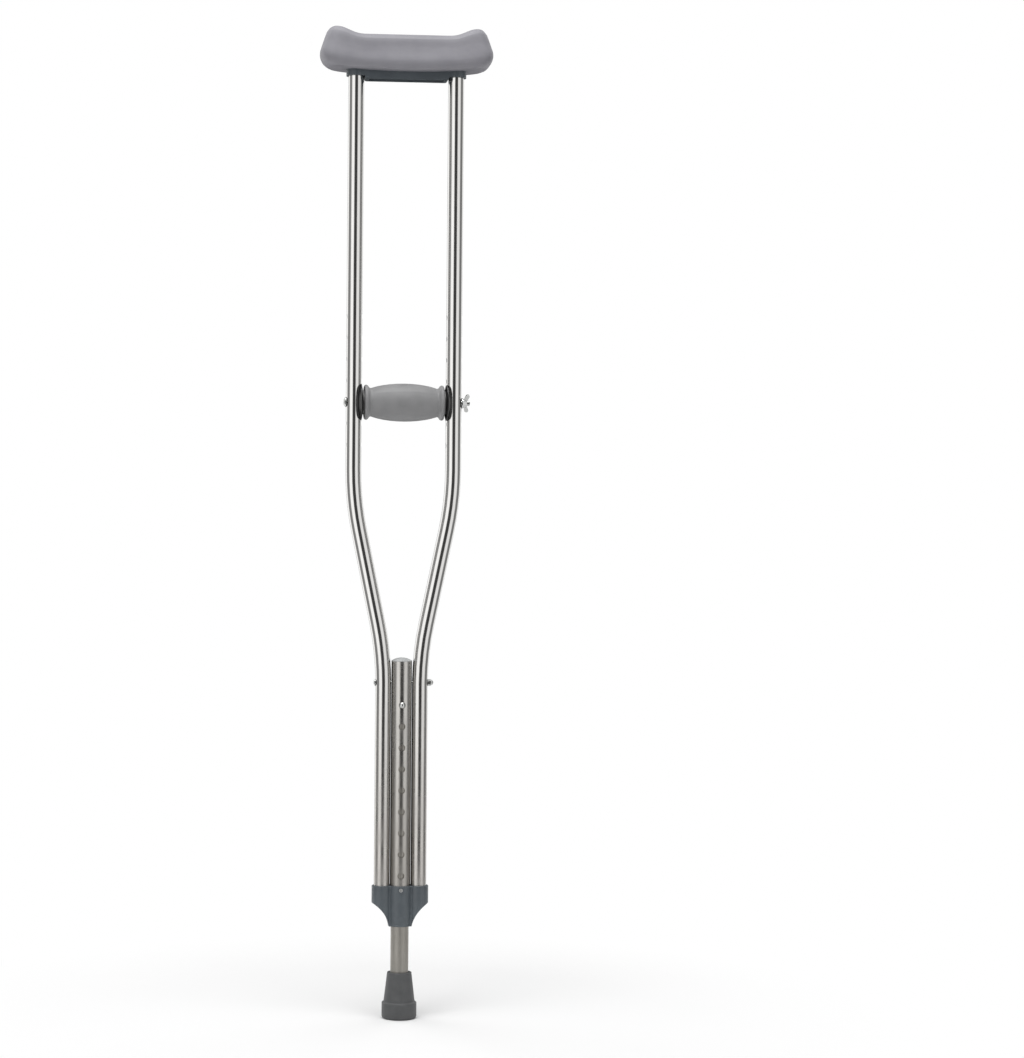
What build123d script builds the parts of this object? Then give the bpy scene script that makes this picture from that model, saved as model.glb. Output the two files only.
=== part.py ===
from build123d import *
import math
import os

os.makedirs("parts", exist_ok=True)

# Underarm crutch with a three-tube frame, a telescopic leg and an adjustable hand grip.
# Millimetres. X runs across the crutch, -Y is its front and Z is up.
# The origin is the middle of the rubber tip's tread, where it meets the floor.
# Heights are stacked from the floor up, with the leg at its shortest.

# Tubes
SIDE_OD = 18.5
SIDE_WALL = 1.2
CENTRE_OD = 24.0
CENTRE_WALL = 1.2
LEG_WALL = 1.2
LEG_FIT = 0.2  # gap all round between the leg and the centre tube
TUBE_GAP = 0.35  # between the centre tube and each side tube

# Rubber tip, with its walls measured outwards from the leg's socket
TIP_HEIGHT = 54.0
TIP_RIM_WALL = 3.65
TIP_SHOULDER_WALL = 7.65
TIP_FOOT_WALL = 9.85
TIP_FOOT_HEIGHT = 18.5
TIP_TREAD = 8.0
TIP_EDGE = 3.0
TIP_FIT = 0.05
GROOVE_WIDTH = 1.8
GROOVE_DEPTH = 1.2
GROOVE_INSET = 7.0  # from the foot's side to the outer groove
GROOVE_PITCH = 4.5
GROOVE_COUNT = 2
DISC_THICKNESS = 1.5
DISC_GAP = 0.3

# Lower bracket
NECK_Z = 108.5  # height of its lower end
NECK_LEDGE = 9.5  # thickness of the neck below the centre tube's end
NECK_WALL = 2.45
NECK_BORE_GAP = 0.25
NECK_LIP = 0.5
SIDE_RISE = 30.0  # from the neck's end to the side tubes' lower ends
SWEEP_HEIGHT = 27.5  # from the neck's end to where its shoulders start to sweep in
BRACKET_HEIGHT = 47.5
COLLAR_WALL = 2.5
SOCKET_GAP = 0.1
WEB_DEPTH = 17.0

# Height adjustment of the leg
LOW_HOLE_RISE = 12.0  # from the lower bracket's top to the lowest hole
HOLE_PITCH = 25.0
HOLE_COUNT = 9
BUTTON_D = 7.2
BUTTON_GAP = 0.3  # between the button and its holes, all round
BUTTON_PROUD = 2.8  # beyond the centre tube
BUTTON_DOME = 2.4
BUTTON_FLANGE_D = 9.0
BUTTON_FLANGE = 0.8
BUTTON_STUB_D = 3.0
SPRING_WIDTH = 7.0
SPRING_STRIP = 0.8
SPRING_DROP = 30.0  # from the button down to the spring's fold
SPRING_RISE = 8.0  # from the button up to the spring's tips
SPRING_FOLD = 2.2
LEG_ABOVE_BUTTON = 15.0
PLUG_HEAD = 2.0
PLUG_DEPTH = 6.0
PLUG_GAP = 0.1

# Bolt that ties the three tubes together
FRAME_BOLT_CLEAR = 9.0  # from the leg's plug up to the bolt's axis
FRAME_BOLT_D = 4.0
FRAME_BOLT_GAP = 0.25
FRAME_HEAD_D = 8.0
FRAME_HEAD = 2.3
FRAME_NUT_FLATS = 7.0
FRAME_NUT_HEX = 3.4
FRAME_NUT_DOME_D = 6.4
HEAD_RIM = 0.5  # straight edge of a domed bolt head
SEAT_GAP = 0.1  # under the head or nut of a fastener that is done up

# Centre tube's top
CENTRE_ABOVE_BOLT = 25.0
CAP_DOME = 3.6
CAP_RIM = 0.8
CAP_DEPTH = 9.0

# Side tubes: they stand close below, lean out, and stand wide above
UPPER_SPREAD = 58.8  # crutch centre to side tube axis, beside the grip
CORNER_RISE = 9.0  # from the centre tube's top to the corner of the lower bend
LEAN_HEIGHT = 180.0  # between the corners of the two bends
UPPER_RUN = 514.0  # from the upper corner to the tubes' top ends
BEND_RADIUS = 350.0

# Hand grip
GRIP_RISE = 114.5  # from the upper bend's corner to the grip's axis
GRIP_PITCH = 25.0
GRIP_STEPS_DOWN = 2
GRIP_STEPS_UP = 4
BARREL_D = 44.6
GRIP_NECK_D = 33.2
GRIP_NECK_LENGTH = 3.0  # between the barrel and the ring at each end
GRIP_RING_D = 41.2
GRIP_RING_WIDTH = 5.2
CORE_D = 22.0
BOSS_D = 28.0
BOSS_LENGTH = 1.3
SADDLE_D = 43.0
SADDLE_WEB = 0.95  # left between the grip's boss and the tube
SADDLE_WRAP = 4.0  # how far the washer reaches round the tube
SADDLE_DOME = 1.6
SADDLE_RIM = 1.0
SADDLE_GAP = 0.3

# Bolt through the grip, its washer and its wing nut
GRIP_BOLT_D = 6.0
GRIP_BOLT_GAP = 0.25
GRIP_HEAD_D = 11.7
GRIP_HEAD = 3.2
BOLT_PAST_NUT = 3.5  # beyond the wing nut's hub
BOLT_CHAMFER = 0.6
NUT_WASHER_D = 12.0
NUT_WASHER = 1.0
NUT_GAP = 0.1
NUT_HUB_D = 11.0
NUT_HUB_TOP_D = 8.6
NUT_HUB = 5.0
NUT_BASE = 0.8  # height of the hub below the wings
WING_SPAN = 26.0
WING_OVER_HUB = 2.6  # how far the wings' tips rise over the hub's top
WING_TIP_D = 4.6
WING_THICKNESS = 2.0
WING_ANGLE = 42.0  # the wings' lean from upright, where the nut stopped

# Top bracket
COLLAR_DEPTH = 18.0  # how far each collar reaches down over its tube
COLLAR_TOP = 3.0  # over the side tube's end
BEAM_DROP = 4.0  # how far the beam between the collars hangs below them
BEAM_DEPTH = 22.0
PLATE_DROP = 5.0  # from the side tubes' ends down to the plate's underside
PLATE_OVERHANG = 27.2  # beyond each side tube's axis
PLATE_DEPTH = 38.0
PLATE_THICKNESS = 4.0
PLATE_CORNER = 14.0
POCKET_WALL = 3.0
POCKET_ROOF = 4.0
POCKET_RIBS = 3
POCKET_RIB = 2.0

# Screws that hold the side tubes in the two brackets
SCREW_D = 3.5
SCREW_HEAD_D = 6.0
SCREW_HEAD = 2.0
SCREW_GAP = 0.1
SCREW_REACH = 2.0  # past the tube's inner wall
SCREW_EDGE = 0.2  # from a collar's lower edge to the head of its screw
FRONT_SCREW_DROP = 4.5  # below the lower bracket's top
FRONT_SCREW_D = 2.4
FRONT_SCREW_HEAD_D = 4.4
FRONT_SCREW_HEAD = 1.0

# Underarm pad, with its length and width measured outwards from the plate in it
PAD_GAP = 0.3
PAD_END = 15.5
PAD_SIDE = 9.5
PAD_SKIRT = 8.0  # how far the pad reaches down past the plate's underside
PAD_BELLY = 5.5  # how much lower the underside is in the middle
PAD_LIP = 15.0  # each height from the one before, starting at the underside
PAD_WAIST = 14.0
PAD_CROWN = 9.0
PAD_SEAT = 5.0
PAD_HORN = 8.5
HORN_INSET = 20.3  # from the pad's end to the horn's top
HORN_SLOPE = 30.5  # from the horn's top in to the flat of the seat
END_DROP = 4.0  # how much lower than the seat the pad's ends start to turn down

side_r = SIDE_OD / 2
side_bore_r = side_r - SIDE_WALL
centre_r = CENTRE_OD / 2
centre_bore_r = centre_r - CENTRE_WALL
leg_r = centre_bore_r - LEG_FIT
leg_bore_r = leg_r - LEG_WALL
lower_spread = centre_r + TUBE_GAP + side_r
collar_r = side_r + COLLAR_WALL
lobe_r = centre_r + COLLAR_WALL
neck_r = leg_r + NECK_BORE_GAP + NECK_WALL
socket_r = leg_r + TIP_FIT
button_hole_r = BUTTON_D / 2 + BUTTON_GAP
frame_hole_r = FRAME_BOLT_D / 2 + FRAME_BOLT_GAP
grip_hole_r = GRIP_BOLT_D / 2 + GRIP_BOLT_GAP
screw_hole_r = SCREW_D / 2 + SCREW_GAP
front_hole_r = FRONT_SCREW_D / 2 + SCREW_GAP

leg_bottom_z = TIP_TREAD + DISC_THICKNESS
centre_bottom_z = NECK_Z + NECK_LEDGE
side_bottom_z = NECK_Z + SIDE_RISE
bracket_top_z = NECK_Z + BRACKET_HEIGHT
lower_screw_z = (side_bottom_z + bracket_top_z) / 2
front_screw_z = bracket_top_z - FRONT_SCREW_DROP
low_hole_z = bracket_top_z + LOW_HOLE_RISE
button_z = low_hole_z + (HOLE_COUNT - 1) * HOLE_PITCH
leg_top_z = button_z + LEG_ABOVE_BUTTON
frame_bolt_z = leg_top_z + PLUG_HEAD + FRAME_BOLT_CLEAR
centre_top_z = frame_bolt_z + CENTRE_ABOVE_BOLT
lower_corner_z = centre_top_z + CORNER_RISE
upper_corner_z = lower_corner_z + LEAN_HEIGHT
grip_z = upper_corner_z + GRIP_RISE
side_top_z = upper_corner_z + UPPER_RUN
collar_z = side_top_z - COLLAR_DEPTH
beam_z = collar_z - BEAM_DROP
top_screw_z = collar_z + SCREW_EDGE + SCREW_HEAD_D / 2
plate_z = side_top_z - PLATE_DROP

tube_face_x = UPPER_SPREAD - side_r  # inner face of a side tube beside the grip
saddle_x = tube_face_x - SADDLE_GAP - SADDLE_WEB
grip_end_x = saddle_x - BOSS_LENGTH
bolt_seat_x = UPPER_SPREAD + side_r + SEAT_GAP
nut_seat_x = bolt_seat_x + NUT_WASHER + SEAT_GAP
plate_length = 2 * (UPPER_SPREAD + PLATE_OVERHANG)


def along_x(radius, x_from, x_to, z, y=0.0):
    """A round bar along X between two places."""
    bar = Cylinder(radius, x_to - x_from, align=(Align.CENTER, Align.CENTER, Align.MIN))
    return Location((x_from, y, z), (0, 90, 0)) * bar


def along_y(radius, y_from, y_to, z, x=0.0):
    """A round bar along Y between two places."""
    bar = Cylinder(radius, y_to - y_from, align=(Align.CENTER, Align.CENTER, Align.MIN))
    return Location((x, y_from, z), (-90, 0, 0)) * bar


def along_z(radius, z_from, z_to, x=0.0, y=0.0):
    """A round bar along Z between two heights."""
    bar = Cylinder(radius, z_to - z_from, align=(Align.CENTER, Align.CENTER, Align.MIN))
    return Location((x, y, z_from)) * bar


def turned_about_x(points):
    """A solid of revolution about X, from (x, radius) points joined by straight lines."""
    outline = Polyline(*[(x, 0, r) for x, r in points], close=True)
    return revolve(make_face(outline), Axis.X)


def block(x_size, y_size, z_from, z_to, x=0.0, y=0.0):
    """A box centred on a point in plan, between two heights."""
    box = Box(x_size, y_size, z_to - z_from, align=(Align.CENTER, Align.CENTER, Align.MIN))
    return Location((x, y, z_from)) * box


def domed_disc(radius, rim, dome):
    """A disc that stands on z = 0, with a straight rim and a domed top."""
    ball_r = (radius**2 + dome**2) / (2 * dome)
    half_z = rim + dome - ball_r + math.sqrt(ball_r**2 - radius**2 / 4)
    outline = Polyline((0, 0), (radius, 0), (radius, rim))
    outline += ThreePointArc((radius, rim), (radius / 2, half_z), (0, rim + dome))
    outline += Line((0, rim + dome), (0, 0))
    return revolve(Plane.XZ * make_face(outline), Axis.Z)


def grip_levels():
    """The heights at which the grip's bolt can pass through the side tubes."""
    return [grip_z + GRIP_PITCH * step for step in range(-GRIP_STEPS_DOWN, GRIP_STEPS_UP + 1)]


def side_tube(side):
    """A bent side tube. side is -1 on the left and 1 on the right."""
    low, high = side * lower_spread, side * UPPER_SPREAD
    path = FilletPolyline(
        (low, 0, side_bottom_z),
        (low, 0, lower_corner_z),
        (high, 0, upper_corner_z),
        (high, 0, side_top_z),
        radius=BEND_RADIUS,
    )
    start = Plane(origin=(low, 0, side_bottom_z), z_dir=(0, 0, 1))
    tube = sweep(start * Circle(side_r), path=path) - sweep(start * Circle(side_bore_r), path=path)
    for z in grip_levels():
        tube -= along_x(grip_hole_r, high - SIDE_OD, high + SIDE_OD, z)
    tube -= along_x(frame_hole_r, low - SIDE_OD, low + SIDE_OD, frame_bolt_z)
    tube -= along_y(screw_hole_r, 0, SIDE_OD, top_screw_z, high)
    tube -= along_y(screw_hole_r, 0, SIDE_OD, lower_screw_z, low)
    return tube


def centre_tube():
    """The outer tube of the telescope, with its row of holes down the front."""
    tube = along_z(centre_r, centre_bottom_z, centre_top_z)
    tube -= along_z(centre_bore_r, centre_bottom_z, centre_top_z)
    for step in range(HOLE_COUNT):
        tube -= along_y(button_hole_r, -CENTRE_OD, 0, low_hole_z + HOLE_PITCH * step)
    tube -= along_x(frame_hole_r, -CENTRE_OD, CENTRE_OD, frame_bolt_z)
    tube -= along_y(front_hole_r, -CENTRE_OD, 0, front_screw_z)
    return tube


def centre_cap():
    """The domed plug that closes the centre tube's top."""
    cap = Location((0, 0, centre_top_z)) * domed_disc(centre_r, CAP_RIM, CAP_DOME)
    return cap + along_z(centre_bore_r - PLUG_GAP, centre_top_z - CAP_DEPTH, centre_top_z)


def bolt_head(diameter, height, seat, outward):
    """A round domed bolt head whose flat side is at x = seat. outward is -1 or 1."""
    head = domed_disc(diameter / 2, HEAD_RIM, height - HEAD_RIM)
    return Location((seat, 0, 0), (0, outward * 90, 0)) * head


def frame_bolt():
    """The bolt through the three lower tubes, with its head on the left."""
    seat = lower_spread + side_r + SEAT_GAP
    shank = along_x(FRAME_BOLT_D / 2, -seat, seat + FRAME_NUT_HEX, 0)
    return Location((0, 0, frame_bolt_z)) * (shank + bolt_head(FRAME_HEAD_D, FRAME_HEAD, -seat, -1))


def frame_nut():
    """The cap nut on the right end of the frame bolt."""
    seat = lower_spread + side_r + SEAT_GAP
    hexagon = extrude(RegularPolygon(FRAME_NUT_FLATS / 2, 6, major_radius=False), FRAME_NUT_HEX)
    nut = Location((seat, 0, 0), (0, 90, 0)) * hexagon
    dome = Location((seat + FRAME_NUT_HEX, 0, 0)) * Sphere(FRAME_NUT_DOME_D / 2)
    nut += dome & along_x(FRAME_NUT_DOME_D, seat + FRAME_NUT_HEX / 2, seat + 3 * FRAME_NUT_HEX, 0)
    nut -= along_x(FRAME_BOLT_D / 2 + SEAT_GAP, seat, seat + FRAME_NUT_HEX + SEAT_GAP, 0)
    return Location((0, 0, frame_bolt_z)) * nut


def screw(diameter, head_d, head, length):
    """A pan-head screw along -Y, with the underside of its head at y = 0."""
    shank = along_y(diameter / 2, -length, 0, 0)
    top = along_y(head_d / 2, 0, head, 0)
    rim = top.edges().sort_by(Axis.Y)[-1]
    return shank + fillet(rim, head * 0.6)


def tube_screws(z, spread):
    """The pair of screws through the back of a bracket into both side tubes."""
    seat = collar_r + SEAT_GAP
    length = seat - side_bore_r + SCREW_REACH
    one = screw(SCREW_D, SCREW_HEAD_D, SCREW_HEAD, length)
    return Compound([Location((side * spread, seat, z)) * one for side in (-1, 1)])


def front_screw():
    """The small screw in the front of the lower bracket. It ends inside the centre tube's wall."""
    seat = lobe_r + SEAT_GAP
    length = seat - centre_bore_r - SEAT_GAP
    one = screw(FRONT_SCREW_D, FRONT_SCREW_HEAD_D, FRONT_SCREW_HEAD, length)
    return Location((0, -seat, front_screw_z), (0, 0, 180)) * one


def lower_bracket():
    """The yoke that gathers the side tubes onto the centre tube and narrows to the leg."""
    half_width = lower_spread + collar_r
    shoulder_z = centre_bottom_z + COLLAR_WALL
    sweep_top_z = NECK_Z + SWEEP_HEIGHT
    shoulders = block(2 * lower_spread, WEB_DEPTH, NECK_Z, bracket_top_z)
    for side in (-1, 1):
        shoulders += along_z(collar_r, NECK_Z, bracket_top_z, side * lower_spread)
    # seen from the front, each shoulder sweeps in to the neck on a hollow curve
    sweep_mid = (neck_r + 0.28 * (half_width - neck_r), NECK_Z + 0.52 * SWEEP_HEIGHT)
    outline = Line((0, NECK_Z), (neck_r, NECK_Z))
    outline += ThreePointArc((neck_r, NECK_Z), sweep_mid, (half_width, sweep_top_z))
    outline += Polyline((half_width, sweep_top_z), (half_width, bracket_top_z), (0, bracket_top_z))
    outline += Line((0, bracket_top_z), (0, NECK_Z))
    half = extrude(Plane.XZ * make_face(outline), collar_r + COLLAR_WALL, both=True)
    body = shoulders & (half + mirror(half, Plane.YZ))
    lobe_outline = Polyline(
        (0, NECK_Z),
        (neck_r + NECK_LIP, NECK_Z),
        (neck_r + NECK_LIP, NECK_Z + 2 * NECK_LIP),
        (neck_r, NECK_Z + 4 * NECK_LIP),
        (lobe_r, shoulder_z),
        (lobe_r, bracket_top_z),
        (0, bracket_top_z),
        close=True,
    )
    body += revolve(Plane.XZ * make_face(lobe_outline), Axis.Z)
    top_rim = body.faces().sort_by(Axis.Z)[-1].outer_wire().edges()
    body = fillet(top_rim, COLLAR_WALL * 0.4)
    body -= along_z(centre_r + SOCKET_GAP, centre_bottom_z, bracket_top_z)
    body -= along_z(leg_r + NECK_BORE_GAP, NECK_Z, centre_bottom_z)
    for side in (-1, 1):
        x = side * lower_spread
        body -= along_z(side_r + SOCKET_GAP, side_bottom_z, bracket_top_z, x)
        body -= along_y(screw_hole_r, 0, collar_r + SIDE_OD, lower_screw_z, x)
    body -= along_y(front_hole_r, -2 * centre_r, -centre_r, front_screw_z)
    return body


def bracket_head(grow=0.0):
    """The outside of the top bracket, or the room for it in the pad when grown by a clearance."""
    beam = block(2 * UPPER_SPREAD, BEAM_DEPTH + 2 * grow, collar_z, plate_z)
    plate = RectangleRounded(plate_length + 2 * grow, PLATE_DEPTH + 2 * grow, PLATE_CORNER)
    head = beam + Location((0, 0, plate_z - grow)) * extrude(plate, PLATE_THICKNESS + 2 * grow)
    for side in (-1, 1):
        top_z = side_top_z + COLLAR_TOP + grow
        head += along_z(collar_r + grow, collar_z, top_z, side * UPPER_SPREAD)
    return head


def pad_bracket():
    """The moulded bracket that joins the side tubes' tops and carries the pad."""
    web_length = 2 * (tube_face_x - SOCKET_GAP)
    body = bracket_head() + block(web_length, BEAM_DEPTH, beam_z, collar_z)
    low_corners = body.edges().filter_by(Axis.Y).group_by(Axis.Z)[0]
    body = fillet(low_corners, BEAM_DROP * 0.8)
    for side in (-1, 1):
        x = side * UPPER_SPREAD
        body -= along_z(side_r + SOCKET_GAP, beam_z, side_top_z, x)
        body -= along_y(screw_hole_r, 0, collar_r + SIDE_OD, top_screw_z, x)
    # the underside is hollow between the collars, with ribs across
    pocket_length = 2 * (UPPER_SPREAD - collar_r - POCKET_WALL)
    pocket_depth = BEAM_DEPTH - 2 * POCKET_WALL
    pocket = block(pocket_length, pocket_depth, beam_z, plate_z + PLATE_THICKNESS - POCKET_ROOF)
    rib_step = pocket_length / (POCKET_RIBS + 1)
    for rib in range(POCKET_RIBS):
        x = rib_step * (rib + 1) - pocket_length / 2
        pocket -= block(POCKET_RIB, BEAM_DEPTH, beam_z + POCKET_WALL, plate_z + PLATE_THICKNESS, x)
    return body - pocket


def underarm_pad():
    """The saddle-shaped pad, pulled over the top bracket like a shoe."""
    length, width = plate_length + 2 * PAD_END, PLATE_DEPTH + 2 * PAD_SIDE
    bottom_z = plate_z - PAD_SKIRT
    lip_z = bottom_z + PAD_LIP
    waist_z = lip_z + PAD_WAIST
    crown_z = waist_z + PAD_CROWN
    seat_z = crown_z + PAD_SEAT
    horn_z = seat_z + PAD_HORN
    levels = (
        (bottom_z, 20.0, 16.0, 16.0),
        ((bottom_z + lip_z) / 2, 3.0, 3.0, 22.0),
        (lip_z, 0.0, 0.0, 24.0),
        (waist_z, 8.0, 9.0, 21.0),
        (crown_z, 14.0, 10.0, 20.0),
        (horn_z, 28.0, 22.0, 16.0),
    )
    sections = []
    for z, shorter, narrower, corner in levels:
        plan = RectangleRounded(length - shorter, width - narrower, corner)
        sections.append(Location((0, 0, z)) * plan)
    hull = loft(sections)
    # seen from the front, the seat dips between two horns and the underside bellies
    end_x = length / 2
    horn_x = end_x - HORN_INSET
    flat_x = horn_x - HORN_SLOPE
    slope_x = (horn_x + flat_x) / 2
    right = [
        (flat_x, seat_z),
        (slope_x, seat_z + 0.3 * PAD_HORN),
        (horn_x, horn_z),
        ((horn_x + end_x) / 2, horn_z - 0.25 * PAD_HORN),
        (end_x, seat_z - END_DROP),
    ]
    seat = Spline(*[(-x, z) for x, z in reversed(right)], *right)
    corner_z = bottom_z + PAD_BELLY
    outline = seat + Line((end_x, seat_z - END_DROP), (end_x, corner_z))
    outline += ThreePointArc((end_x, corner_z), (0, bottom_z), (-end_x, corner_z))
    outline += Line((-end_x, corner_z), (-end_x, seat_z - END_DROP))
    front_view = extrude(Plane.XZ * make_face(outline), width, both=True)
    return (hull & front_view) - bracket_head(PAD_GAP)


def leg_tube():
    """The inner tube of the telescope, with one hole for the button."""
    tube = along_z(leg_r, leg_bottom_z, leg_top_z) - along_z(leg_bore_r, leg_bottom_z, leg_top_z)
    return tube - along_y(button_hole_r, -CENTRE_OD, 0, button_z)


def leg_plug():
    """The plug in the leg tube's top, which keeps the leg steady in the centre tube."""
    head = along_z(leg_r, leg_top_z, leg_top_z + PLUG_HEAD)
    head = chamfer(head.edges().sort_by(Axis.Z)[-1], PLUG_HEAD / 2)
    return head + along_z(leg_bore_r - PLUG_GAP, leg_top_z - PLUG_DEPTH, leg_top_z)


def spring_front_y():
    """The middle of the spring strip's front limb, behind the button's flange."""
    flange_r = BUTTON_FLANGE_D / 2
    wall_y = math.sqrt(leg_bore_r**2 - flange_r**2)
    return -(wall_y - SEAT_GAP - BUTTON_FLANGE - SEAT_GAP - SPRING_STRIP / 2)


def snap_spring():
    """The folded strip spring inside the leg, which holds the button out."""
    front = spring_front_y()
    rear = math.sqrt(leg_bore_r**2 - SPRING_WIDTH**2 / 4) - SEAT_GAP - SPRING_STRIP / 2
    tips_z, fold_z = button_z + SPRING_RISE, button_z - SPRING_DROP
    path = FilletPolyline(
        (0, front, tips_z),
        (0, front, button_z - SPRING_RISE),
        (0, -SPRING_FOLD, fold_z),
        (0, SPRING_FOLD, fold_z),
        (0, rear, button_z - SPRING_RISE),
        (0, rear, tips_z),
        radius=SPRING_FOLD * 0.8,
    )
    start = Plane(origin=(0, front, tips_z), x_dir=(1, 0, 0), z_dir=(0, 0, -1))
    strip = sweep(start * Rectangle(SPRING_WIDTH, SPRING_STRIP), path=path)
    return strip - along_y(BUTTON_STUB_D / 2 + SEAT_GAP, front - SPRING_STRIP, 0, button_z)


def snap_button():
    """The button that locks the leg, with its flange behind the leg's wall."""
    strip_y = spring_front_y()
    flange_y = strip_y - SPRING_STRIP / 2 - SEAT_GAP
    length = centre_r + BUTTON_PROUD + flange_y
    barrel = domed_disc(BUTTON_D / 2, length - BUTTON_DOME, BUTTON_DOME)
    button = Location((0, flange_y, button_z), (90, 0, 0)) * barrel
    button += along_y(BUTTON_FLANGE_D / 2, flange_y - BUTTON_FLANGE, flange_y, button_z)
    return button + along_y(BUTTON_STUB_D / 2, flange_y, strip_y + SPRING_STRIP, button_z)


def rubber_tip():
    """The tip, with a waisted skirt, a wide foot and ring grooves in its tread."""
    foot_r = socket_r + TIP_FOOT_WALL
    outline = Polyline(
        (0, 0),
        (foot_r, 0),
        (foot_r, TIP_FOOT_HEIGHT),
        (socket_r + TIP_SHOULDER_WALL, TIP_FOOT_HEIGHT + TIP_EDGE / 2),
        (socket_r + TIP_RIM_WALL, TIP_HEIGHT),
        (0, TIP_HEIGHT),
        close=True,
    )
    tip = revolve(Plane.XZ * make_face(outline), Axis.Z)
    tread_edge = tip.edges().filter_by(GeomType.CIRCLE).sort_by(Axis.Z)[0]
    tip = fillet(tread_edge, TIP_EDGE)
    foot_edge = tip.edges().filter_by(GeomType.CIRCLE).filter_by_position(
        Axis.Z, TIP_FOOT_HEIGHT - 0.1, TIP_FOOT_HEIGHT + 0.1
    )
    tip = fillet(foot_edge, TIP_EDGE / 2)
    rim_edge = tip.edges().filter_by(GeomType.CIRCLE).sort_by(Axis.Z)[-1]
    tip = fillet(rim_edge, TIP_EDGE / 3)
    tip -= along_z(socket_r, TIP_TREAD, TIP_HEIGHT)
    for step in range(GROOVE_COUNT):
        radius = foot_r - GROOVE_INSET - GROOVE_PITCH * step
        ring = along_z(radius + GROOVE_WIDTH / 2, 0, GROOVE_DEPTH)
        tip -= ring - along_z(radius - GROOVE_WIDTH / 2, 0, GROOVE_DEPTH)
    return tip


def tip_disc():
    """The steel disc in the tip, which keeps the leg tube from cutting through the rubber."""
    return along_z(leg_r - DISC_GAP, TIP_TREAD, leg_bottom_z)


def grip_sleeve():
    """The barrel-shaped soft sleeve, with a raised ring at each end."""
    neck_radius, ring_r = GRIP_NECK_D / 2, GRIP_RING_D / 2
    ring_x = grip_end_x - GRIP_RING_WIDTH
    neck_x = ring_x - GRIP_NECK_LENGTH
    ring_foot_r = ring_r - GRIP_RING_WIDTH * 0.4
    outline = ThreePointArc((-neck_x, neck_radius), (0, BARREL_D / 2), (neck_x, neck_radius))
    for side in (-1, 1):
        outline += Line((side * neck_x, neck_radius), (side * ring_x, ring_foot_r))
        outline += ThreePointArc(
            (side * ring_x, ring_foot_r),
            (side * (grip_end_x - GRIP_RING_WIDTH / 2), ring_r),
            (side * grip_end_x, ring_foot_r),
        )
        outline += Line((side * grip_end_x, ring_foot_r), (side * grip_end_x, CORE_D / 2))
    outline += Line((-grip_end_x, CORE_D / 2), (grip_end_x, CORE_D / 2))
    sleeve = revolve(Plane.XZ * make_face(outline), Axis.X)
    return Location((0, 0, grip_z)) * sleeve


def grip_core():
    """The stiff core of the grip, flanged at both ends, with the bolt's bore through it."""
    core = along_x(CORE_D / 2, -grip_end_x, grip_end_x, grip_z)
    core += along_x(BOSS_D / 2, grip_end_x, saddle_x, grip_z)
    core += along_x(BOSS_D / 2, -saddle_x, -grip_end_x, grip_z)
    return core - along_x(grip_hole_r, -saddle_x, saddle_x, grip_z)


def saddle_washer(side):
    """The domed washer between the grip and a side tube, grooved to sit round the tube."""
    rim_r, boss_r = SADDLE_D / 2, BOSS_D / 2
    outer_x = tube_face_x + SADDLE_WRAP
    lens = turned_about_x(
        [
            (saddle_x, 0),
            (saddle_x, boss_r),
            (saddle_x + SADDLE_DOME, rim_r),
            (saddle_x + SADDLE_DOME + SADDLE_RIM, rim_r),
            (outer_x, boss_r),
            (outer_x, 0),
        ]
    )
    lens -= along_x(grip_hole_r, saddle_x, outer_x, 0)
    lens -= along_z(side_r + SADDLE_GAP, -SADDLE_D, SADDLE_D, UPPER_SPREAD)
    if side < 0:
        lens = mirror(lens, Plane.YZ)
    return Location((0, 0, grip_z)) * lens


def grip_bolt():
    """The bolt through the grip and both side tubes, with its head on the left."""
    shank = along_x(GRIP_BOLT_D / 2, -bolt_seat_x, nut_seat_x + NUT_HUB + BOLT_PAST_NUT, 0)
    shank = chamfer(shank.edges().sort_by(Axis.X)[-1], BOLT_CHAMFER)
    return Location((0, 0, grip_z)) * (shank + bolt_head(GRIP_HEAD_D, GRIP_HEAD, -bolt_seat_x, -1))


def nut_washer():
    """The flat washer under the wing nut."""
    ring = along_x(NUT_WASHER_D / 2, bolt_seat_x, bolt_seat_x + NUT_WASHER, grip_z)
    return ring - along_x(grip_hole_r, bolt_seat_x, bolt_seat_x + NUT_WASHER, grip_z)


def wing_nut():
    """The wing nut, with its seat towards the right side tube."""
    top_r = NUT_HUB_TOP_D / 2
    nut = turned_about_x([(0, 0), (0, NUT_HUB_D / 2), (NUT_HUB, top_r), (NUT_HUB, 0)])
    # each wing runs from the hub's side out to a round tip
    reach = NUT_HUB + WING_OVER_HUB
    tip_r = WING_TIP_D / 2
    root_r = top_r - WING_THICKNESS / 2
    root = Line((NUT_BASE, root_r), (NUT_HUB, root_r))
    tip = Location((reach - tip_r, WING_SPAN / 2 - tip_r)) * Circle(tip_r)
    wing = make_hull(root.edges() + tip.edges())
    plate = extrude(Plane.XZ * wing, WING_THICKNESS / 2, both=True)
    nut += plate + mirror(plate, Plane.XY)
    nut -= along_x(GRIP_BOLT_D / 2 + NUT_GAP, 0, reach, 0)
    return Location((nut_seat_x, 0, grip_z), (WING_ANGLE, 0, 0)) * nut


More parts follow.
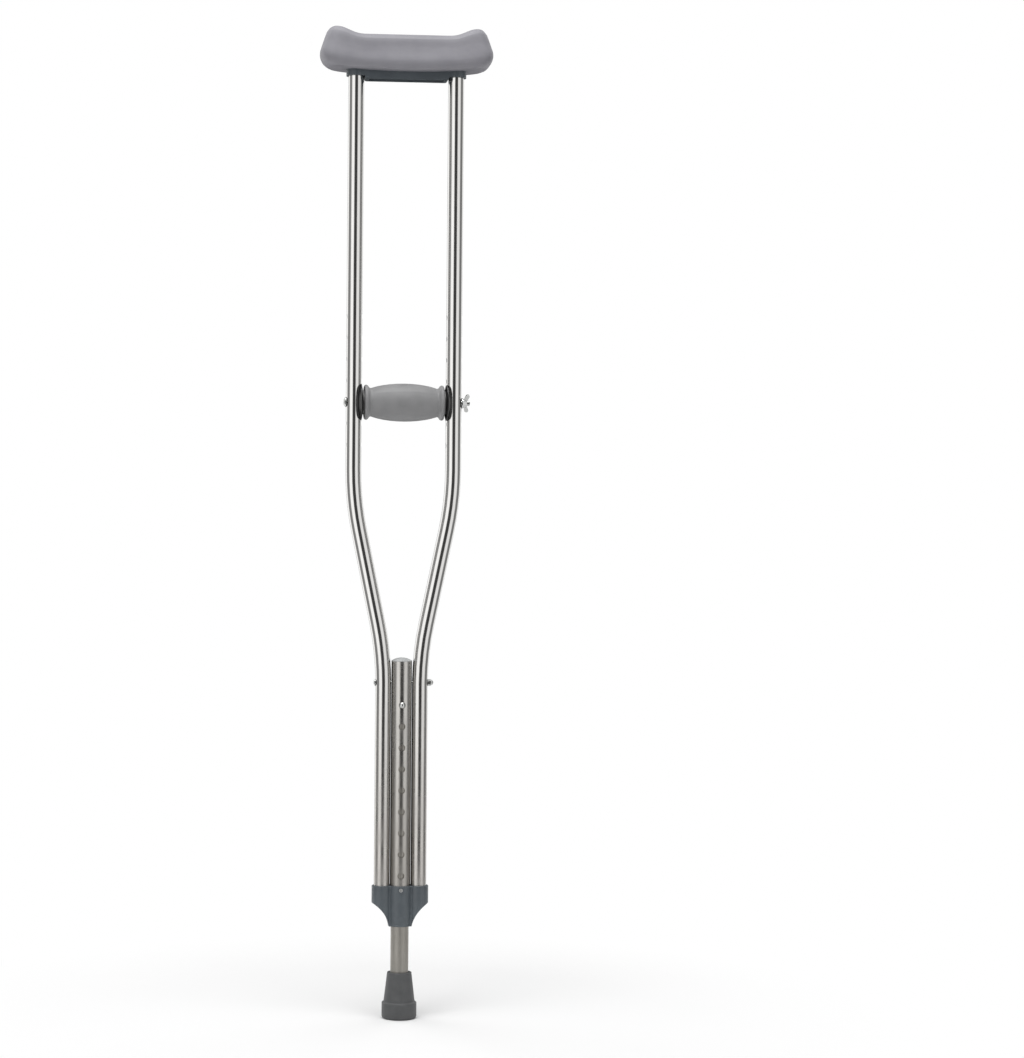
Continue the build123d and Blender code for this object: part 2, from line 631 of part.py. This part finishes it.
NODES = {
    "underarm_pad": underarm_pad(),
    "pad_bracket": pad_bracket(),
    "top_screws": tube_screws(top_screw_z, UPPER_SPREAD),
    "side_tube_left": side_tube(-1),
    "side_tube_right": side_tube(1),
    "centre_tube": centre_tube(),
    "centre_tube_cap": centre_cap(),
    "frame_bolt": frame_bolt(),
    "frame_nut": frame_nut(),
    "lower_bracket": lower_bracket(),
    "lower_screws": tube_screws(lower_screw_z, lower_spread),
    "front_screw": front_screw(),
    "leg_tube": leg_tube(),
    "leg_plug": leg_plug(),
    "snap_spring": snap_spring(),
    "snap_button": snap_button(),
    "rubber_tip": rubber_tip(),
    "tip_disc": tip_disc(),
    "grip_sleeve": grip_sleeve(),
    "grip_core": grip_core(),
    "saddle_washer_left": saddle_washer(-1),
    "saddle_washer_right": saddle_washer(1),
    "grip_bolt": grip_bolt(),
    "nut_washer": nut_washer(),
    "wing_nut": wing_nut(),
}

for name, shape in NODES.items():
    shape.label = name
    export_step(shape, f"parts/{name}.step")
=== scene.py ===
# %% [markdown]
# # An underarm crutch, dressed for its portrait
#
# The crutch arrives as a finished CAD model, in metres, with its rubber tip on the floor at the
# origin. It has a frame of three steel tubes, a leg that slides in the middle one, a padded
# top and a hand grip that moves up and down. The steel and plastic pieces already have the right
# shape, so they only need their finish. The pad and the grip's sleeve are soft, and they are
# modelled again here.

# %% Load the frame
import math

import bmesh
import bpy
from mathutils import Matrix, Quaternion, Vector


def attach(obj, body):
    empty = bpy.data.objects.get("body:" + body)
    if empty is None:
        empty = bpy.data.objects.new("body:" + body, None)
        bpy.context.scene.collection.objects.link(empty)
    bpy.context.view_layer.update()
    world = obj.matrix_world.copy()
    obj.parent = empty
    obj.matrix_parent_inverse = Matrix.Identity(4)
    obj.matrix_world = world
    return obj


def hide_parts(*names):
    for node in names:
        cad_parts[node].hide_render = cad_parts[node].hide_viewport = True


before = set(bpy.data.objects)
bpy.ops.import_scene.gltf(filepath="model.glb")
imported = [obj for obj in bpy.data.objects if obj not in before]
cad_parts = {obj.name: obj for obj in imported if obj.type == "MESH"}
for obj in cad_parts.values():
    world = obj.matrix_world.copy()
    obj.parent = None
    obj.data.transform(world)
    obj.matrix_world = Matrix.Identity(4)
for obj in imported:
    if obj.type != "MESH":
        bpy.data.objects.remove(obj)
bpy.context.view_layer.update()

MM = 0.001

# %% [markdown]
# ## Camera
#
# The photograph was taken from about three metres away, from a little below the hand grip and a
# few degrees from the left. A long lens at that distance gives the same small perspective: the
# underside of the pad shows, and the lower bracket is seen a little from above. The heights on
# the picture are evenly spaced from the floor to the pad, so the camera was about level, half
# way up the crutch. The crutch stands left of the middle of the picture, which a sideways shift
# of the lens gives without turning the camera, and it leans by half a degree.

# %% Camera
FRAME_PX = (1024, 1058)
MM_PER_PX = 1.174
FLOOR_PX = 1018.1  # the row of the picture where the middle of the tip stands on the floor
CENTRE_PX = 402.8  # the column of the crutch's centre line, half way up the picture
DISTANCE = 3.0
CAMERA_AZIMUTH = math.radians(-5.0)
CAMERA_HEIGHT = 0.59
LEAN = math.radians(0.46)

picture_height = FRAME_PX[1] * MM_PER_PX * MM
aim = Vector((0, 0, (FLOOR_PX - FRAME_PX[1] / 2) * MM_PER_PX * MM))
standpoint = Vector((
    DISTANCE * math.sin(CAMERA_AZIMUTH),
    -DISTANCE * math.cos(CAMERA_AZIMUTH),
    CAMERA_HEIGHT,
))
sight = aim - standpoint
lens = bpy.data.cameras.new("portrait_lens")
camera = bpy.data.objects.new("portrait_camera", lens)
bpy.context.scene.collection.objects.link(camera)
camera.location = standpoint
camera.rotation_mode = "QUATERNION"
camera.rotation_quaternion = sight.to_track_quat("-Z", "Y") @ Quaternion((0, 0, 1), LEAN)
lens.lens = lens.sensor_width * sight.length / picture_height
lens.shift_x = (FRAME_PX[0] / 2 - CENTRE_PX) / FRAME_PX[1]
lens.clip_start, lens.clip_end = 0.05, 60.0
bpy.context.scene.camera = camera
bpy.context.scene.view_settings.view_transform = "Standard"
print(f"lens {lens.lens:.1f} mm, aimed {aim.z:.3f} m up, shifted sideways by {lens.shift_x:.3f}")

# %% [markdown]
# ## Nodes and colours
#
# A few helpers are enough for every finish. One turns a colour as it is picked on a screen into
# the linear numbers that the renderer works with. One adds a single node, sets its properties,
# fills or links its sockets and, on a colour ramp, places its stops. One spreads two shades
# over a noise, and one starts a new material.

# %% Helpers for finishes
NOISE_LOW, NOISE_HIGH = 0.3, 0.7  # nearly all the values of a noise lie between these


def colour(hex_code):
    """Linear red, green, blue and alpha of an sRGB hex colour, by the sRGB standard's curve."""
    shares = [int(hex_code[i : i + 2], 16) / 255 for i in (1, 3, 5)]
    return [s / 12.92 if s <= 0.04045 else ((s + 0.055) / 1.055) ** 2.4 for s in shares] + [1.0]


def add(tree, kind, inputs, stops=(), **settings):
    """Adds a node. Inputs are values, or other nodes' outputs to link, by socket name or number.

    Stops are the (position, linear colour) points of a colour ramp.
    """
    made = tree.nodes.new(kind)
    for name, value in settings.items():
        setattr(made, name, value)
    for name, value in inputs.items():
        if isinstance(value, bpy.types.NodeSocket):
            tree.links.new(value, made.inputs[name])
        else:
            made.inputs[name].default_value = value
    if stops:
        points = made.color_ramp.elements
        while len(points) < len(stops):
            points.new(0.5)
        for point, (at, shade) in zip(points, stops):
            point.position = at
            point.color = shade
    return made


def shades(dark, light):
    """Ramp stops that spread two sRGB hex shades over the range of a noise."""
    return [(NOISE_LOW, colour(dark)), (NOISE_HIGH, colour(light))]


def new_finish(name):
    """A new material with a lone Principled shader, its node tree and its place in space."""
    made = bpy.data.materials.new(name)
    made.use_nodes = True
    tree = made.node_tree
    place = add(tree, "ShaderNodeTexCoord", {}).outputs["Object"]
    return made, tree, tree.nodes["Principled BSDF"], place


print("mid grey on screen is", round(colour("#808080")[0], 3), "in linear light")

# %% [markdown]
# ## Polished and satin steel
#
# The frame tubes are stainless steel, welded from strip and then polished on belts until they
# mirror the studio. The upper part of the side tubes is almost a mirror. Down the tube the steel
# gets rougher and a little darker. Belt polishing leaves faint streaks along the tube, and a noise
# that is stretched lengthwise gives them. Real streaks are finer than a pixel of the picture,
# so these are drawn several times as wide. The leg is brushed, which leaves shorter and deeper
# lines. The bolts and screws are zinc plated, bright but a little milky, and the spring is bare.
# Metal keeps the default IOR, and its colour is how much light it returns.

# %% Steel finishes
SMUDGE_MM = 28  # the size of the patches where handling has dulled the polish
STREAK_DEPTH_MM = 0.02


def steel(name, low, high, z_low, z_high, streak_mm, streak_length_mm, depth):
    """Steel whose look goes from low to high between two heights, in metres.

    A look is its dark shade, its light shade and its roughness. Depth is how strongly the
    streaks stand out.
    """
    made, tree, shader, place = new_finish(name)
    streaks = add(tree, "ShaderNodeMapping", {
        "Vector": place,
        "Scale": (1 / (streak_mm * MM), 1 / (streak_mm * MM), 1 / (streak_length_mm * MM)),
    })
    lines = add(tree, "ShaderNodeTexNoise", {
        "Vector": streaks.outputs["Vector"], "Scale": 1.0, "Detail": 3.0, "Roughness": 0.6,
    })
    smudges = add(tree, "ShaderNodeTexNoise", {
        "Vector": place, "Scale": 1 / (SMUDGE_MM * MM), "Detail": 2.0, "Roughness": 0.5,
    })
    height = add(tree, "ShaderNodeSeparateXYZ", {"Vector": place}).outputs["Z"]
    share = add(tree, "ShaderNodeMapRange", {
        "Value": height, "From Min": z_low, "From Max": z_high,
    }, interpolation_type="SMOOTHSTEP").outputs["Result"]

    rough = add(tree, "ShaderNodeMapRange", {
        "Value": share, "To Min": low[2], "To Max": high[2],
    }).outputs["Result"]
    uneven = add(tree, "ShaderNodeMapRange", {
        "Value": smudges.outputs["Fac"], "From Min": 0.35, "From Max": 0.7,
        "To Min": 0.85, "To Max": 1.3,
    }).outputs["Result"]
    total = add(tree, "ShaderNodeMath", {0: rough, 1: uneven}, operation="MULTIPLY")
    tree.links.new(total.outputs["Value"], shader.inputs["Roughness"])

    low_tint, high_tint = (
        add(tree, "ShaderNodeValToRGB", {"Fac": lines.outputs["Fac"]}, stops=shades(*look[:2]))
        for look in (low, high)
    )
    # sockets 6 and 7 of a mix node are its two colours, and its output 2 is the mixed one
    tint = add(tree, "ShaderNodeMix", {
        "Factor": share, 6: low_tint.outputs["Color"], 7: high_tint.outputs["Color"],
    }, data_type="RGBA")
    tree.links.new(tint.outputs[2], shader.inputs["Base Color"])

    bump = add(tree, "ShaderNodeBump", {
        "Height": lines.outputs["Fac"], "Strength": depth, "Distance": STREAK_DEPTH_MM * MM,
    })
    tree.links.new(bump.outputs["Normal"], shader.inputs["Normal"])
    shader.inputs["Metallic"].default_value = 1.0
    return made


polished_tube = steel(
    "polished_stainless", ("#aba8a4", "#bcb9b5", 0.31), ("#c6c5c3", "#d2d1cf", 0.1),
    z_low=0.16, z_high=0.5, streak_mm=0.5, streak_length_mm=60, depth=0.12,
)
centre_steel = steel(
    "satin_polished_stainless", ("#9a9792", "#aaa7a2", 0.34), ("#aba9a5", "#bab8b5", 0.24),
    z_low=0.14, z_high=0.42, streak_mm=0.5, streak_length_mm=60, depth=0.2,
)
satin_tube = steel(
    "brushed_stainless", ("#8d8a84", "#9e9b95", 0.44), ("#928f89", "#a39f99", 0.4),
    z_low=0.0, z_high=0.2, streak_mm=0.4, streak_length_mm=20, depth=0.3,
)
plated_steel = steel(
    "bright_zinc_plate", ("#b4b5b3", "#c3c4c3", 0.26), ("#b9bab8", "#c8c9c8", 0.22),
    z_low=0.0, z_high=1.2, streak_mm=0.8, streak_length_mm=3, depth=0.2,
)
spring_steel = steel(
    "bare_spring_steel", ("#8a8c8e", "#989a9d", 0.36), ("#8d8f91", "#9b9da0", 0.34),
    z_low=0.0, z_high=1.2, streak_mm=0.3, streak_length_mm=10, depth=0.2,
)
steels = (polished_tube, centre_steel, satin_tube, plated_steel, spring_steel)
print("steel finishes:", [made.name for made in steels])

# %% [markdown]
# ## Moulded plastic and rubber
#
# The brackets, washers and cap are injection moulded. Their steel mould was spark eroded,
# which leaves a fine even grain that breaks up the shine. The pad, the grip and the tip are
# moulded rubber: softer shine, a slightly powdery bloom in patches, and a coarser grain. Real
# grain is finer than a pixel of the picture, so it is drawn several times as coarse. One
# function makes all of them from two shades, a shine and the size of the grain.

# %% Moulded finishes
def moulded(name, dark, light, rough, grain_mm, depth_mm, blotch_mm):
    """A moulded finish whose slow blotches run from a dark shade to a light one."""
    made, tree, shader, place = new_finish(name)
    blotch = add(tree, "ShaderNodeTexNoise", {
        "Vector": place, "Scale": 1 / (blotch_mm * MM), "Detail": 3.0, "Roughness": 0.55,
    })
    grain = add(tree, "ShaderNodeTexNoise", {
        "Vector": place, "Scale": 1 / (grain_mm * MM), "Detail": 2.0, "Roughness": 0.5,
    })
    tint = add(
        tree, "ShaderNodeValToRGB", {"Fac": blotch.outputs["Fac"]}, stops=shades(dark, light),
    )
    tree.links.new(tint.outputs["Color"], shader.inputs["Base Color"])
    uneven = add(tree, "ShaderNodeMapRange", {
        "Value": blotch.outputs["Fac"], "From Min": NOISE_LOW, "From Max": NOISE_HIGH,
        "To Min": rough - 0.05, "To Max": rough + 0.06,
    }).outputs["Result"]
    tree.links.new(uneven, shader.inputs["Roughness"])
    bump = add(tree, "ShaderNodeBump", {
        "Height": grain.outputs["Fac"], "Strength": 0.5, "Distance": depth_mm * MM,
    })
    tree.links.new(bump.outputs["Normal"], shader.inputs["Normal"])
    shader.inputs["IOR"].default_value = 1.5
    return made


pad_rubber = moulded(
    "grey_thermoplastic_rubber", "#807f85", "#8b8a90",
    rough=0.56, grain_mm=1.1, depth_mm=0.05, blotch_mm=30,
)
grip_rubber = moulded(
    "grey_vinyl_rubber", "#7e7e7f", "#888889",
    rough=0.5, grain_mm=0.9, depth_mm=0.05, blotch_mm=18,
)
tip_rubber = moulded(
    "dark_grey_natural_rubber", "#464748", "#515253",
    rough=0.55, grain_mm=0.8, depth_mm=0.05, blotch_mm=12,
)
bracket_nylon = moulded(
    "blue_grey_moulded_nylon", "#484e53", "#51585d",
    rough=0.42, grain_mm=0.6, depth_mm=0.03, blotch_mm=22,
)
cap_plastic = moulded(
    "light_grey_polythene", "#a3a5a5", "#b0b2b2",
    rough=0.4, grain_mm=0.6, depth_mm=0.03, blotch_mm=8,
)
core_plastic = moulded(
    "grey_moulded_nylon", "#8e8e8e", "#9a9a9a",
    rough=0.42, grain_mm=0.6, depth_mm=0.03, blotch_mm=10,
)
washer_plastic = moulded(
    "black_moulded_nylon", "#151516", "#1e1e1f",
    rough=0.32, grain_mm=0.6, depth_mm=0.02, blotch_mm=10,
)
rubbers = (pad_rubber, grip_rubber, tip_rubber)
plastics = (bracket_nylon, cap_plastic, core_plastic, washer_plastic)
print("moulded finishes:", [made.name for made in rubbers + plastics])

# %% [markdown]
# ## Dress the CAD pieces
#
# A CAD piece whose shape is right only changes its material slots. Its mesh stays as it is.

# %% Finishes on the CAD pieces
FINISH_OF = {
    "pad_bracket": bracket_nylon,
    "lower_bracket": bracket_nylon,
    "top_screws": plated_steel,
    "lower_screws": plated_steel,
    "front_screw": plated_steel,
    "side_tube_left": polished_tube,
    "side_tube_right": polished_tube,
    "centre_tube": centre_steel,
    "centre_tube_cap": cap_plastic,
    "frame_bolt": plated_steel,
    "frame_nut": plated_steel,
    "leg_tube": satin_tube,
    "leg_plug": cap_plastic,
    "snap_spring": spring_steel,
    "snap_button": plated_steel,
    "rubber_tip": tip_rubber,
    "tip_disc": plated_steel,
    "grip_core": core_plastic,
    "saddle_washer_left": washer_plastic,
    "saddle_washer_right": washer_plastic,
    "grip_bolt": plated_steel,
    "nut_washer": plated_steel,
    "wing_nut": plated_steel,
}
for node, material in FINISH_OF.items():
    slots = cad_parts[node].data.materials
    slots.clear()
    slots.append(material)
print("dressed", len(FINISH_OF), "CAD pieces")

# %% [markdown]
# ## From a bmesh to a piece
#
# Every new piece is built in a bmesh, in millimetres, where the numbers are easy to read. The same
# few steps then turn it into an object that stands at the origin: doubles are merged, faces
# are turned outwards, and the mesh is scaled to metres.

# %% Helper for new pieces
MERGE_MM = 0.001


def piece(name, shape, material, body, replaced):
    """Closes a bmesh in millimetres into an object in metres that rides on a body."""
    bmesh.ops.remove_doubles(shape, verts=shape.verts, dist=MERGE_MM)
    bmesh.ops.recalc_face_normals(shape, faces=shape.faces)
    bmesh.ops.scale(shape, vec=(MM, MM, MM), verts=shape.verts)
    mesh = bpy.data.meshes.new(name)
    shape.to_mesh(mesh)
    shape.free()
    mesh.materials.append(material)
    mesh.polygons.foreach_set("use_smooth", [True] * len(mesh.polygons))
    made = bpy.data.objects.new(name, mesh)
    bpy.context.scene.collection.objects.link(made)
    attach(made, body)
    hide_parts(*replaced)
    print(f"{name}: {len(mesh.polygons)} faces on {body}")
    return made


print("points closer together than", MERGE_MM, "mm are merged")

# %% [markdown]
# ## Underarm pad
#
# The pad is one piece of moulded rubber, pulled over the top bracket like a shoe. Seen from the
# front its seat dips between two horns, and its underside bellies down. Seen from the end it has a
# round crown, a waist and a flared lip. It could be sculpted or lofted. Here a cube is cut into
# a grid and each of its points is moved to its place, because two short tables and a few heights
# then hold all that was measured: how far the outline draws in along the length, how far across,
# and how high the top and the underside lie. A subdivision surface rounds the grid.

# %% Helpers for the pad
def smooth_step(low, high, value):
    """0 below low, 1 above high, and an even S between them."""
    share = min(max((value - low) / (high - low), 0.0), 1.0)
    return share * share * (3 - 2 * share)


def along(points, value):
    """A value read from a short table of (place, value) points, on straight lines between."""
    for (a, low), (b, high) in zip(points, points[1:]):
        if value <= b:
            return low + (high - low) * (value - a) / (b - a)
    return points[-1][1]


print("a quarter of the way along, the S has risen", smooth_step(0, 4, 1), "of its height")

# %% Underarm pad
PAD_LENGTH, PAD_WIDTH = 203.0, 57.0
PAD_CORNER = 19.0  # the radius of its corners, seen from above
PAD_FLOOR, PAD_SEAT = 1109.0, 1152.0  # the heights of its underside and its seat, in the middle
PAD_BELLY, BELLY_REACH = 5.5, 100.0  # the underside rises by so much, so far from the middle
PAD_HORN, HORN_START, HORN_TOP = 8.5, 55, 80  # the top climbs by so much between these places
PAD_END, END_START, END_STOP = 2.0, 86, 94  # past the horn it drops by so much
PAD_CROWN = 2.4  # how much lower the top is at its long edges than along its middle
CROWDING = 0.3  # how much closer the grid's lines lie at the ends, where the pad curves most
CUTS = 19
# how far the outline draws in, by the share of the height: along the length and across
DRAW_IN_LENGTH = [
    (0.0, 9.0), (0.08, 4.4), (0.18, 1.6), (0.3, 0.2), (0.42, 0.2), (0.7, 4.2), (0.9, 7.4),
    (1.0, 11.0),
]
DRAW_IN_WIDTH = [
    (0.0, 5.0), (0.08, 1.6), (0.16, 0.4), (0.24, 0.0), (0.34, 0.6), (0.48, 2.0), (0.64, 3.2),
    (0.8, 3.8), (0.9, 4.8), (1.0, 9.0),
]

shape = bmesh.new()
bmesh.ops.create_cube(shape, size=2.0)
bmesh.ops.subdivide_edges(shape, edges=shape.edges, cuts=CUTS, use_grid_fill=True)
for vert in shape.verts:
    u, v, w = vert.co
    rise = (w + 1) / 2
    half_x = PAD_LENGTH / 2 - along(DRAW_IN_LENGTH, rise)
    half_y = PAD_WIDTH / 2 - along(DRAW_IN_WIDTH, rise)
    x = half_x * u * (1 + CROWDING - CROWDING * u * u)
    y = half_y * v
    # the plan's corners are rounded: what lies past the inner rectangle is drawn onto an arc
    over_x = abs(x) - (half_x - PAD_CORNER)
    over_y = abs(y) - (half_y - PAD_CORNER)
    if over_x > 0 and over_y > 0:
        pull = max(over_x, over_y) / math.hypot(over_x, over_y)
        x = math.copysign(half_x - PAD_CORNER + over_x * pull, x)
        y = math.copysign(half_y - PAD_CORNER + over_y * pull, y)
    reach = abs(x)
    top = PAD_SEAT + PAD_HORN * smooth_step(HORN_START, HORN_TOP, reach)
    top -= PAD_END * smooth_step(END_START, END_STOP, reach)
    top -= PAD_CROWN * (y / half_y) ** 4
    under = PAD_FLOOR + PAD_BELLY * (x / BELLY_REACH) ** 2
    vert.co = (x, y, under + (top - under) * rise)

underarm_pad = piece(
    "underarm_pad_moulded", shape, pad_rubber, "frame", ["underarm_pad"],
)
rounding = underarm_pad.modifiers.new("rounding", "SUBSURF")
rounding.levels = rounding.render_levels = 2

# %% [markdown]
# ## Hand grip
#
# The grip's sleeve is a barrel with a ring near each end, so half of its outline is enough:
# mirrored in the middle and spun round the bolt's axis it becomes the whole sleeve. The mould's
# two halves meet on a thin raised line along the barrel, on both sides.

# %% Hand grip
GRIP_Z = 722.5
GRIP_END, GRIP_RIM, GRIP_BORE = 47.0, 18.2, 11.0  # half its length, and its radii at the end
# points of the outline: how far from the middle, and the radius there
BARREL = [(0, 22.3), (8, 22.1), (16, 21.5), (24, 20.4), (31, 19.0), (36, 17.6), (38.8, 16.7)]
RING = [
    (40.0, 16.8), (41.2, 17.8), (42.2, 19.4), (43.4, 20.4), (44.8, 20.6), (46.0, 20.2),
    (46.8, 19.2),
]
AROUND = 96
SEAM_TURN = 9  # columns above the front where the mould's halves meet
SEAM_MARGIN = 9  # how far from each end of the grip the raised line stops
SEAM_RAISE = 1.012  # how much farther out the line lies than the barrel

shape = bmesh.new()
half = BARREL + RING + [(GRIP_END, GRIP_RIM), (GRIP_END, GRIP_BORE)]
outline = [(-x, r) for x, r in reversed(half)] + half[1:]
rim = [shape.verts.new((x, -r, 0)) for x, r in outline]
edges = [shape.edges.new(pair) for pair in zip(rim, rim[1:] + rim[:1])]
bmesh.ops.spin(
    shape, geom=rim + edges, cent=(0, 0, 0), axis=(1, 0, 0), dvec=(0, 0, 0),
    angle=math.tau, steps=AROUND, use_merge=True, use_duplicate=False,
)
for vert in shape.verts:
    turn = math.degrees(math.atan2(vert.co.z, -vert.co.y)) / (360 / AROUND)
    on_seam = round(turn) % (AROUND // 2) == SEAM_TURN
    if on_seam and abs(vert.co.x) < GRIP_END - SEAM_MARGIN:
        vert.co.y *= SEAM_RAISE
        vert.co.z *= SEAM_RAISE
bmesh.ops.translate(shape, vec=(0, 0, GRIP_Z), verts=shape.verts)
grip_sleeve = piece(
    "grip_sleeve_moulded", shape, grip_rubber, "grip", ["grip_sleeve"],
)

# %% [markdown]
# ## Studio
#
# The crutch stands on a pale floor in a white studio. A polished tube is a mirror, so what it
# shows is the room: tall soft boxes give its two white lines, the gap between them, where the
# camera stands, gives the dark line in the middle, and the unlit side walls its grey edges. The
# sky of the scene holds those boxes in four directions, so that the steel looks alike from every
# side. What the camera sees behind the crutch is plain white.

# %% Sky
# brightness of the walls, by how far sideways a direction points: 0 is to the front or the back,
# and 1 to the left or the right
WALLS = [(0.0, 0.05), (0.30, 0.05), (0.45, 1.0), (0.86, 1.0), (0.95, 0.22), (1.0, 0.22)]
CEILING = 0.75
CEILING_START, CEILING_FULL = 0.55, 0.9  # how far up the walls end, from 0 level to 1 overhead
LEFT_BOXES, RIGHT_BOXES = 1.5, 1.22  # the boxes on the left are a little stronger
BOX_SIDE = 0.4  # how far sideways a box has its full strength

world = bpy.data.worlds.new("studio")
bpy.context.scene.world = world
world.use_nodes = True
tree = world.node_tree
tree.nodes.clear()
direction = add(tree, "ShaderNodeTexCoord", {}).outputs["Generated"]
apart = add(tree, "ShaderNodeSeparateXYZ", {"Vector": direction})
flat = add(tree, "ShaderNodeCombineXYZ", {"X": apart.outputs["X"], "Y": apart.outputs["Y"]})
level = add(tree, "ShaderNodeVectorMath", {0: flat.outputs["Vector"]}, operation="NORMALIZE")
sideways = add(tree, "ShaderNodeSeparateXYZ", {"Vector": level.outputs["Vector"]}).outputs["X"]
spread = add(tree, "ShaderNodeMath", {0: sideways}, operation="ABSOLUTE").outputs["Value"]
walls = add(
    tree, "ShaderNodeValToRGB", {"Fac": spread},
    stops=[(at, (light, light, light, 1.0)) for at, light in WALLS],
)
overhead = add(tree, "ShaderNodeMapRange", {
    "Value": apart.outputs["Z"], "From Min": CEILING_START, "From Max": CEILING_FULL,
}, interpolation_type="SMOOTHSTEP").outputs["Result"]
dome = add(tree, "ShaderNodeMix", {
    "Factor": overhead, 6: walls.outputs["Color"], 7: (CEILING, CEILING, CEILING, 1.0),
}, data_type="RGBA")
strength = add(tree, "ShaderNodeMapRange", {
    "Value": sideways, "From Min": -BOX_SIDE, "From Max": BOX_SIDE,
    "To Min": LEFT_BOXES, "To Max": RIGHT_BOXES,
}).outputs["Result"]
room = add(tree, "ShaderNodeBackground", {"Color": dome.outputs[2], "Strength": strength})
plain = add(tree, "ShaderNodeBackground", {"Color": (1, 1, 1, 1), "Strength": 1.0})
seen = add(tree, "ShaderNodeLightPath", {}).outputs["Is Camera Ray"]
sky = add(tree, "ShaderNodeMixShader", {0: seen, 1: room.outputs[0], 2: plain.outputs[0]})
add(tree, "ShaderNodeOutputWorld", {"Surface": sky.outputs[0]})
print("sky: boxes of strength", LEFT_BOXES, "and", RIGHT_BOXES, "and white behind the crutch")

# %% [markdown]
# The floor is a plain disc. Close to the crutch it is matt and pale, so it keeps the
# soft shadow of the tip, and farther out it fades into the white of the background, with no
# horizon line. The disc is small, so that what the steel mirrors below it is the studio. It
# follows the leg, because the crutch stands on its tip however far the leg is drawn out.

# %% Floor
FLOOR_RADIUS = 0.7
FADE_START, FADE_STOP = 0.3, 0.62  # how far out the floor begins to fade, and is white

floor_paint, tree, shader, place = new_finish("pale_studio_floor")
shader.inputs["Base Color"].default_value = colour("#ededed")
shader.inputs["Roughness"].default_value = 0.9
shader.inputs["Specular IOR Level"].default_value = 0.1
distance = add(tree, "ShaderNodeVectorMath", {0: place}, operation="LENGTH").outputs["Value"]
far = add(tree, "ShaderNodeMapRange", {
    "Value": distance, "From Min": FADE_START, "From Max": FADE_STOP,
}, interpolation_type="SMOOTHSTEP").outputs["Result"]
path = add(tree, "ShaderNodeLightPath", {})
seen = add(tree, "ShaderNodeMath", {
    0: path.outputs["Is Camera Ray"], 1: path.outputs["Is Glossy Ray"],
}, operation="MAXIMUM").outputs["Value"]
share = add(tree, "ShaderNodeMath", {0: far, 1: seen}, operation="MULTIPLY").outputs["Value"]
white = add(tree, "ShaderNodeEmission", {"Color": (1, 1, 1, 1), "Strength": 1.0})
blend = add(tree, "ShaderNodeMixShader", {0: share, 1: shader.outputs[0], 2: white.outputs[0]})
tree.links.new(blend.outputs[0], tree.nodes["Material Output"].inputs["Surface"])

shape = bmesh.new()
bmesh.ops.create_circle(shape, cap_ends=True, segments=96, radius=FLOOR_RADIUS)
mesh = bpy.data.meshes.new("studio_floor")
shape.to_mesh(mesh)
shape.free()
mesh.materials.append(floor_paint)
floor = bpy.data.objects.new("studio_floor", mesh)
bpy.context.scene.collection.objects.link(floor)
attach(floor, "leg")
print(f"floor: a disc of {FLOOR_RADIUS} m under the tip, which follows it as the leg slides out")

# %% [markdown]
# One large soft lamp overhead, a little in front, gives the light a direction. The tops of the
# pad and the grip are brighter than their undersides, and the shadow lies close round the tip.

# %% Lamp
LAMP_PLACE = Vector((-0.15, -0.6, 3.2))
LAMP_AIM = Vector((0, 0, 0.9))
LAMP_SIZE, LAMP_WATTS = 1.1, 35.0

light = bpy.data.lights.new("overhead_box", "AREA")
light.size, light.energy = LAMP_SIZE, LAMP_WATTS
lamp = bpy.data.objects.new("overhead_box", light)
bpy.context.scene.collection.objects.link(lamp)
lamp.location = LAMP_PLACE
lamp.rotation_mode = "QUATERNION"
lamp.rotation_quaternion = (LAMP_AIM - LAMP_PLACE).to_track_quat("-Z", "Y")
print(f"lamp: {LAMP_WATTS:.0f} W from a square of {LAMP_SIZE} m, {LAMP_PLACE.z:.1f} m up")
